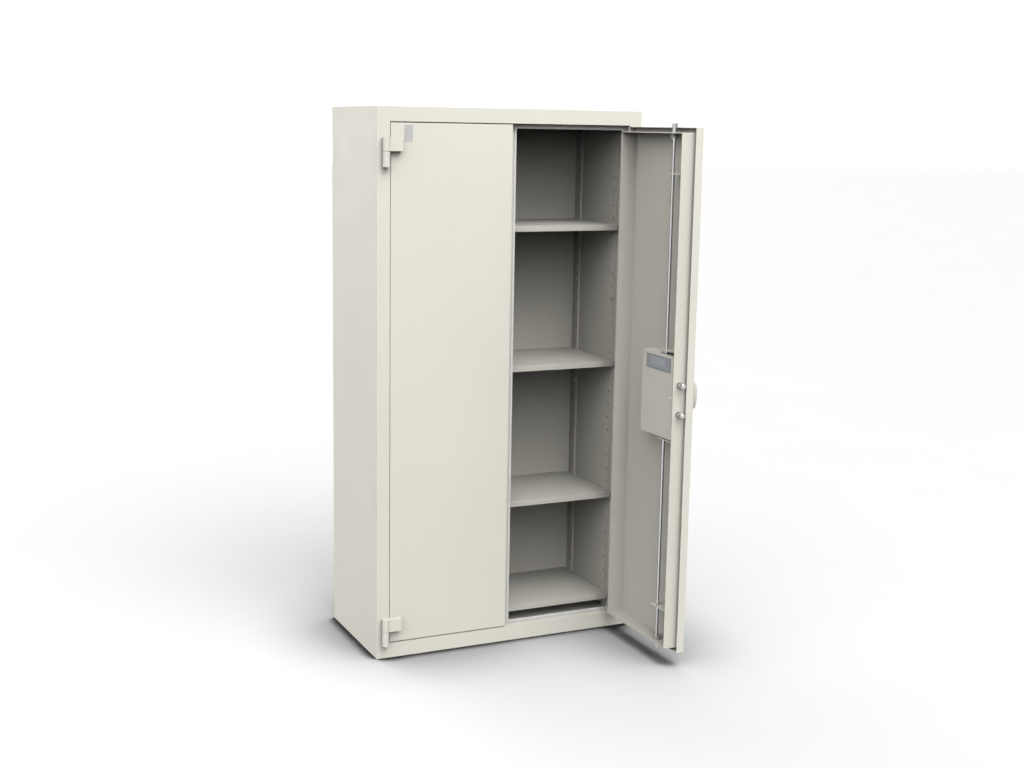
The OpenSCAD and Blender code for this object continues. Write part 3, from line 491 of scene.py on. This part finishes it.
def floor_finish():
    """White ground, with painted shadow where something stands close over it."""
    g = Graph("floor_white_painted_shadow", rough=0.9, specular=0.1)
    tone = g.tones(g.noise(FLOOR_CLOUD), grey(GROUND_LOW), grey(GROUND_HIGH))
    for reach, dark, low, high in PAINTED_FLOOR_SHADOWS:
        near = g.add("ShaderNodeAmbientOcclusion")
        near.inputs["Distance"].default_value = reach
        near.samples = SHADE_RAYS
        # painted shadow: the ground's colour darkens where little of the open sky is seen from it
        tone = g.tones(near.outputs["AO"], grey(dark), tone, low, high)
    g.colour(tone)
    return g.mat


def make_floor():
    mesh = bpy.data.meshes.new("floor")
    h = FLOOR_HALF
    mesh.from_pydata([(-h, -h, 0), (h, -h, 0), (h, h, 0), (-h, h, 0)], [], [(0, 1, 2, 3)])
    floor = bpy.data.objects.new("floor", mesh)
    scene.collection.objects.link(floor)
    floor.data.materials.append(floor_finish())
    # the fill below the horizon reaches the cabinet through the floor
    floor.visible_shadow = False


# Rounded edges

# width in mm of the rounded edges of a node that isn't named below
BEVEL = 0.3
# the same for the door pans, other folded sheets and the seals, turned parts, and castings
BEVELS = {
    0.9: ("left_door_pan", "right_door_pan"),
    0.6: ("left_door_frame", "right_door_frame", "lock_case", "shelf_bottom", "shelf_lower",
          "shelf_middle", "shelf_upper", "seal_left", "seal_right", "centre_post"),
    1.0: ("upper_rod", "lower_rod", "handle_rosette", "key_escutcheon"),
    1.6: ("hinge_knuckles", "left_hinge_blocks", "right_hinge_blocks"),
}
BEVEL_STEPS = 2
# facets that turn less than this are joined to one flat face
FLAT_ANGLE = math.radians(0.5)
# edges that turn more than this are rounded, and where they stay, they are sharp in the shading
EDGE_ANGLE = math.radians(30)
# points nearer than this are joined, in mm
WELD = 0.01


def soften_group():
    """Drops the stored normals, welds the facets and smooths every edge under the angle."""
    group = bpy.data.node_groups.new("soften", "GeometryNodeTree")
    group.interface.new_socket("Geometry", in_out="INPUT", socket_type="NodeSocketGeometry")
    group.interface.new_socket("Geometry", in_out="OUTPUT", socket_type="NodeSocketGeometry")
    add = group.nodes.new
    join = group.links.new
    source = add("NodeGroupInput")
    sink = add("NodeGroupOutput")
    drop = add("GeometryNodeRemoveAttribute")
    drop.inputs["Name"].default_value = "custom_normal"
    weld = add("GeometryNodeMergeByDistance")
    weld.inputs["Distance"].default_value = WELD * MM
    smooth = add("GeometryNodeSetShadeSmooth")
    smooth.domain = "FACE"
    sharp = add("GeometryNodeSetShadeSmooth")
    sharp.domain = "EDGE"
    sharp.inputs["Shade Smooth"].default_value = False
    angle = add("GeometryNodeInputMeshEdgeAngle")
    over = add("FunctionNodeCompare")
    over.inputs["B"].default_value = EDGE_ANGLE
    join(source.outputs[0], drop.inputs["Geometry"])
    join(drop.outputs["Geometry"], weld.inputs["Geometry"])
    join(weld.outputs["Geometry"], smooth.inputs["Geometry"])
    join(smooth.outputs["Geometry"], sharp.inputs["Geometry"])
    join(angle.outputs["Unsigned Angle"], over.inputs["A"])
    join(over.outputs["Result"], sharp.inputs["Selection"])
    join(sharp.outputs["Geometry"], sink.inputs[0])
    return group


def soften(obj, group):
    obj.modifiers.new("soften", "NODES").node_group = group


def round_edges(obj, width):
    """Joins flat facets and rounds the edges between them by a width in mm."""
    flat = obj.modifiers.new("flat", "DECIMATE")
    flat.decimate_type = "DISSOLVE"
    flat.angle_limit = FLAT_ANGLE
    bevel = obj.modifiers.new("bevel", "BEVEL")
    bevel.width = width * MM
    bevel.segments = BEVEL_STEPS
    bevel.limit_method = "ANGLE"
    bevel.angle_limit = EDGE_ANGLE
    bevel.use_clamp_overlap = True
    bevel.harden_normals = True


def dress_nodes(finishes, group):
    slots = slot_of_node()
    widths = {name: width for width, names in BEVELS.items() for name in names}
    for name, obj in nodes.items():
        dress(obj, name, slots[name], finishes)
        soften(obj, group)
        round_edges(obj, widths.get(name, BEVEL))


# Shapes of the pieces made here

# steps round a turned piece, and round a rounded corner
LATHE_STEPS = 24
CORNER_STEPS = 6
# how far outside a node's box a ray starts that looks for a surface, in mm
RAY_OFF = 50.0


def add_piece(name, shape, body, slot, finishes, group):
    """Turns a bmesh, drawn in metres at rest, into a piece that rides on a body."""
    bmesh.ops.recalc_face_normals(shape, faces=shape.faces)
    mesh = bpy.data.meshes.new(name)
    shape.to_mesh(mesh)
    shape.free()
    obj = bpy.data.objects.new(name, mesh)
    scene.collection.objects.link(obj)
    dress(obj, name, slot, finishes)
    soften(obj, group)
    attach(obj, body)
    return obj


def lathe(shape, profile, centre, axis, steps=LATHE_STEPS, hexed=0, closed=False):
    """Adds a turned solid: points of (radius, height) in mm along an axis from the centre.
    The first hexed points make hexagons, and their radius is half the width over the flats.
    A closed profile runs back from its last point to its first."""
    turn = Vector((0.0, 0.0, 1.0)).rotation_difference(Vector(axis)).to_matrix()
    sixth = math.pi / 3
    rings = []
    for i, (radius, height) in enumerate(profile):
        if radius == 0:
            rings.append([shape.verts.new(Vector(centre) + turn @ Vector((0, 0, height * MM)))])
            continue
        ring = []
        for k in range(steps):
            angle = 2 * math.pi * k / steps
            r = radius * MM
            if i < hexed:
                r /= math.cos((angle + sixth / 2) % sixth - sixth / 2)
            point = Vector((r * math.cos(angle), r * math.sin(angle), height * MM))
            ring.append(shape.verts.new(Vector(centre) + turn @ point))
        rings.append(ring)
    pairs = list(zip(rings, rings[1:]))
    if closed:
        pairs.append((rings[-1], rings[0]))
    for first, second in pairs:
        for k in range(steps):
            n = (k + 1) % steps
            if len(first) == 1:
                shape.faces.new((first[0], second[k], second[n]))
            elif len(second) == 1:
                shape.faces.new((first[k], second[0], first[n]))
            else:
                shape.faces.new((first[k], second[k], second[n], first[n]))


def prism(shape, outline, z0, z1, hole=()):
    """Adds an upright solid on an outline of (x, y) in metres, with one hole if it is given."""
    edges = []
    for loop in (outline, hole):
        ring = [shape.verts.new((x, y, z0)) for x, y in loop]
        edges += [shape.edges.new((a, b)) for a, b in zip(ring, ring[1:] + ring[:1])]
    filled = bmesh.ops.triangle_fill(shape, use_beauty=True, edges=edges)["geom"]
    faces = [part for part in filled if isinstance(part, bmesh.types.BMFace)]
    grown = bmesh.ops.extrude_face_region(shape, geom=faces)["geom"]
    top = [part for part in grown if isinstance(part, bmesh.types.BMVert)]
    bmesh.ops.translate(shape, verts=top, vec=(0.0, 0.0, z1 - z0))


def arc(centre, radius, start, sweep, steps):
    """Points along an arc, both ends included, with its angles in quarter turns."""
    points = []
    for k in range(steps + 1):
        angle = math.pi / 2 * (start + sweep * k / steps)
        points.append((
            centre[0] + radius * math.cos(angle), centre[1] + radius * math.sin(angle)))
    return points


def rounded_rectangle(width, height, radius):
    points = []
    for corner, (side, end) in enumerate(((1, 1), (-1, 1), (-1, -1), (1, -1))):
        centre = (side * (width / 2 - radius), end * (height / 2 - radius))
        points += arc(centre, radius, corner, 1, CORNER_STEPS)
    return points


def first_hit(node, origin, direction):
    """Point and normal where a ray first meets a node."""
    hit, point, normal, _ = nodes[node].ray_cast(Vector(origin), Vector(direction))
    if not hit:
        raise ValueError("no surface of " + node + " there")
    return point, normal


def mid(low, high, axis):
    return (low[axis] + high[axis]) / 2


# Guide plates of the rods

# plate in mm: from the rod to its free end, from the door's outside to its front edge, thickness,
# height of the turned feet, radius of the rod's hole and of the corner
GUIDE_REACH = 24.0
GUIDE_DEPTH = 60.0
GUIDE_T = 3.0
GUIDE_FOOT = 12.0
GUIDE_HOLE = 6.3
GUIDE_ROUND = 6.0
HOLE_STEPS = 32
ROUND_STEPS = 5
# gap to the sheets that the feet lie on, thickness of the door's skin, and distance from the
# door's outside to the fold in the leaning wall, in mm
WALL_GAP = 0.1
SKIN_T = 2.0
WALL_FOLD = 28.0
# from the lock cover down to the underside of the plate below it, and up to that of the plate
# above it, in mm
GUIDE_BELOW = 8.0
GUIDE_ABOVE = 13.0


def guide_levels():
    """Heights of the four plates' undersides."""
    low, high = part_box("rod_guides")
    case_low, case_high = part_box("lock_case")
    return (
        low[2] + GUIDE_FOOT * MM, case_low[2] - GUIDE_BELOW * MM,
        case_high[2] + GUIDE_ABOVE * MM, high[2] - GUIDE_T * MM)


def guide_plates(finishes, group):
    """Four plates that guide the rods and reach from beside the rod to the leaning wall."""
    _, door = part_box("right_door_pan")
    rod_low, rod_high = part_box("upper_rod")
    rod_x = mid(rod_low, rod_high, 0)
    rod_y = mid(rod_low, rod_high, 1)
    free_y = rod_y + GUIDE_REACH * MM
    skin_x = door[0] - (SKIN_T + WALL_GAP) * MM
    foot_x = skin_x - GUIDE_T * MM
    fold_x = door[0] - WALL_FOLD * MM
    front_x = door[0] - GUIDE_DEPTH * MM
    radius = GUIDE_ROUND * MM
    corner = arc((front_x + radius, free_y - radius), radius, 2, -1, ROUND_STEPS)
    hole = arc((rod_x, rod_y), GUIDE_HOLE * MM, 0, 4, HOLE_STEPS)[:-1]
    shape = bmesh.new()
    for z in guide_levels():
        wall = []
        for x in (skin_x, fold_x, front_x):
            near = (x, rod_y - 2 * GUIDE_HOLE * MM, z + GUIDE_T / 2 * MM)
            at, _ = first_hit("right_door_frame", near, (0, -1, 0))
            wall.append((x, at.y + WALL_GAP * MM))
        inner = [(x, y + GUIDE_T * MM) for x, y in wall]
        skin_foot = [(skin_x, free_y), wall[0], (foot_x, wall[0][1]), (foot_x, free_y)]
        wall_foot = wall + inner[::-1]
        prism(shape, [(skin_x, free_y)] + wall + corner, z, z + GUIDE_T * MM, hole)
        for foot in (skin_foot, wall_foot):
            prism(shape, foot, z - GUIDE_FOOT * MM, z + GUIDE_T / 2 * MM)
    plates = add_piece("rod_guide_plates", shape, "right_door", "inner_paint", finishes, group)
    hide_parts("rod_guides")


# Collars and plug

# section of a bolt's collar in mm: points of radius and height
COLLAR = ((10.1, 0.0), (10.1, 1.12), (10.6, 1.6), (11.4, 1.6), (12.2, 0.8), (12.2, 0.0))
COLLAR_STEPS = 40
# domed cap of the plug in mm: points of radius and height, then the stem in its hole
PLUG = (
    (0, 3.6), (2.0, 3.45), (4.0, 2.85), (5.4, 1.9), (6.2, 0.9), (6.5, 0.0), (4.0, 0.0),
    (4.0, -4.0), (0, -4.0))
PLUG_STEPS = 32
# how far beside a bolt or the plug a ray goes, so that it meets the sheet, in mm
RAY_BESIDE = 2.0


def bolt_collars(finishes, group):
    """A pressed collar round each bolt, on the leaning wall that the bolts come through."""
    low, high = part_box("lock_bolts")
    radius = (high[0] - low[0]) / 2
    shape = bmesh.new()
    for z in (low[2] + radius, high[2] - radius):
        x = mid(low, high, 0)
        near = (x, low[1] - RAY_OFF * MM, z + radius + RAY_BESIDE * MM)
        wall, normal = first_hit("right_door_frame", near, (0, 1, 0))
        lathe(shape, COLLAR, (x, wall.y, z), normal, COLLAR_STEPS, closed=True)
    add_piece("bolt_collars", shape, "right_door", "nylon", finishes, group)


def plug(finishes, group):
    """The domed cap of the plug in the lock cover."""
    low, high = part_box("cover_plug")
    near = (low[0] - RAY_OFF * MM, high[1] + RAY_BESIDE * MM, high[2])
    at, _ = first_hit("lock_case", near, (1, 0, 0))
    shape = bmesh.new()
    lathe(shape, PLUG, (at.x, mid(low, high, 1), mid(low, high, 2)), (-1, 0, 0), PLUG_STEPS)
    cap = add_piece("plug_cap", shape, "right_door", "white_plastic", finishes, group)
    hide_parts("cover_plug")


# Screws

# heads in mm: radius, height, width of the socket over its flats, shank's diameter and length
COVER_SCREW = (4.2, 1.2, 2.5, (5.0, 14.0))
STRIKE_SCREW = (3.6, 1.3, 2.5, (3.8, 1.9))
ROSETTE_SCREW = (3.0, 1.1, 2.0, (3.0, 4.0))
# outside of a head from the socket to the rim, as shares of its radius and height
SCREW_DOME = ((0.62, 1.0), (0.84, 0.84), (0.96, 0.55), (1.0, 0.2), (1.0, 0.0))
# height of the socket's floor as a share of the head's
SOCKET_FLOOR = 0.4
# from a cover screw's middle up to where a ray meets the cover, in mm
COVER_BESIDE = 3.5
# outer screws of the strike plate in from its ends, and all three behind the frame's front, in mm
STRIKE_IN = 8.0
STRIKE_DEPTH = 44.0
# from the spindle to each screw of the rosette, in mm
ROSETTE_OUT = 20.5


def add_screw(shape, at, axis, radius, height, socket, shank):
    """Adds a button-head screw with a hexagon socket."""
    floor = height * SOCKET_FLOOR
    shank_radius = shank[0] / 2
    inside = [(0, floor), (socket / 2, floor), (socket / 2, height)]
    dome = [(radius * across, height * up) for across, up in SCREW_DOME]
    stem = [(shank_radius, 0.0), (shank_radius, -shank[1]), (0, -shank[1])]
    lathe(shape, inside + dome + stem, at, axis, hexed=len(inside))


def screws(finishes, group):
    """Button-head screws of the lock cover, the strike plate and the handle's rosette."""
    low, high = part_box("cover_screws")
    head = COVER_SCREW[0] * MM
    shape = bmesh.new()
    for y in (low[1] + head, high[1] - head):
        for z in (low[2] + head, high[2] - head):
            near = (low[0] - RAY_OFF * MM, y, z + COVER_BESIDE * MM)
            at, _ = first_hit("lock_case", near, (1, 0, 0))
            add_screw(shape, (at.x, y, z), (-1, 0, 0), *COVER_SCREW)
    heads = add_piece("cover_screw_heads", shape, "right_door", "inner_paint", finishes, group)
    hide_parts("cover_screws")

    low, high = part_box("post_keeper")
    shape = bmesh.new()
    y = cad_front + STRIKE_DEPTH * MM
    for z in (low[2] + STRIKE_IN * MM, mid(low, high, 2), high[2] - STRIKE_IN * MM):
        add_screw(shape, (high[0], y, z), (1, 0, 0), *STRIKE_SCREW)
    add_piece("strike_screws", shape, "cabinet", "zinc_steel", finishes, group)

    low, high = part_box("handle_rosette")
    shape = bmesh.new()
    y = mid(low, high, 1)
    for side in (-1, 1):
        z = mid(low, high, 2) + side * ROSETTE_OUT * MM
        add_screw(shape, (high[0], y, z), (1, 0, 0), *ROSETTE_SCREW)
    add_piece("rosette_screws", shape, "right_door", "zinc_steel", finishes, group)


# Badge

# blank badge of the left door in mm: from the hinge edge, from the top, width and height
BADGE_IN = 48.5
BADGE_DROP = 7.5
BADGE_SIZE = (30.0, 54.0)
# its thickness at the rim and in the sunk field, the rim's width and that of the slope inside it,
# and the radius of its corners
BADGE_T = 0.8
BADGE_FIELD_T = 0.45
BADGE_RIM = 1.2
BADGE_SLOPE = 0.4
BADGE_ROUND = 2.5
# radius and height of a rivet, and how far it is from the badge's end
RIVET = (1.6, 0.7)
RIVET_IN = 5.5
# the rivet's dome as shares of its radius and height, then back under it to the middle
RIVET_DOME = ((0, 1.0), (0.5, 0.9), (0.85, 0.55), (1.0, 0), (0, 0))


def badge(finishes, group):
    """A small blank plate with a raised rim and two rivets."""
    low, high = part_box("left_door_pan")
    width, height = BADGE_SIZE
    x = low[0] + (BADGE_IN + width / 2) * MM
    z = high[2] - (BADGE_DROP + height / 2) * MM
    face = low[1]
    shape = bmesh.new()
    layers = (
        (0.0, 0.0), (0.0, BADGE_T), (BADGE_RIM, BADGE_T), (BADGE_RIM + BADGE_SLOPE, BADGE_FIELD_T))
    rings = []
    for inset, rise in layers:
        outline = rounded_rectangle(width - 2 * inset, height - 2 * inset, BADGE_ROUND - inset)
        rings.append([
            shape.verts.new((x + px * MM, face - rise * MM, z + pz * MM)) for px, pz in outline])
    count = len(rings[0])
    for first, second in zip(rings, rings[1:]):
        for k in range(count):
            n = (k + 1) % count
            shape.faces.new((first[k], first[n], second[n], second[k]))
    shape.faces.new(rings[-1])
    shape.faces.new(rings[0])
    radius, rise = RIVET
    dome = [(radius * across, rise * up) for across, up in RIVET_DOME]
    for side in (-1, 1):
        at = (x, face - BADGE_FIELD_T * MM, z + side * (height / 2 - RIVET_IN) * MM)
        lathe(shape, dome, at, (0, -1, 0))
    add_piece("blank_badge", shape, "left_door", "zinc_steel", finishes, group)


make_camera()
make_studio()
make_floor()
finishes = {name: recipe(name, *values) for name, (recipe, *values) in FINISHES.items()}
softener = soften_group()
for make_piece in (guide_plates, bolt_collars, plug, screws, badge):
    make_piece(finishes, softener)
dress_nodes(finishes, softener)
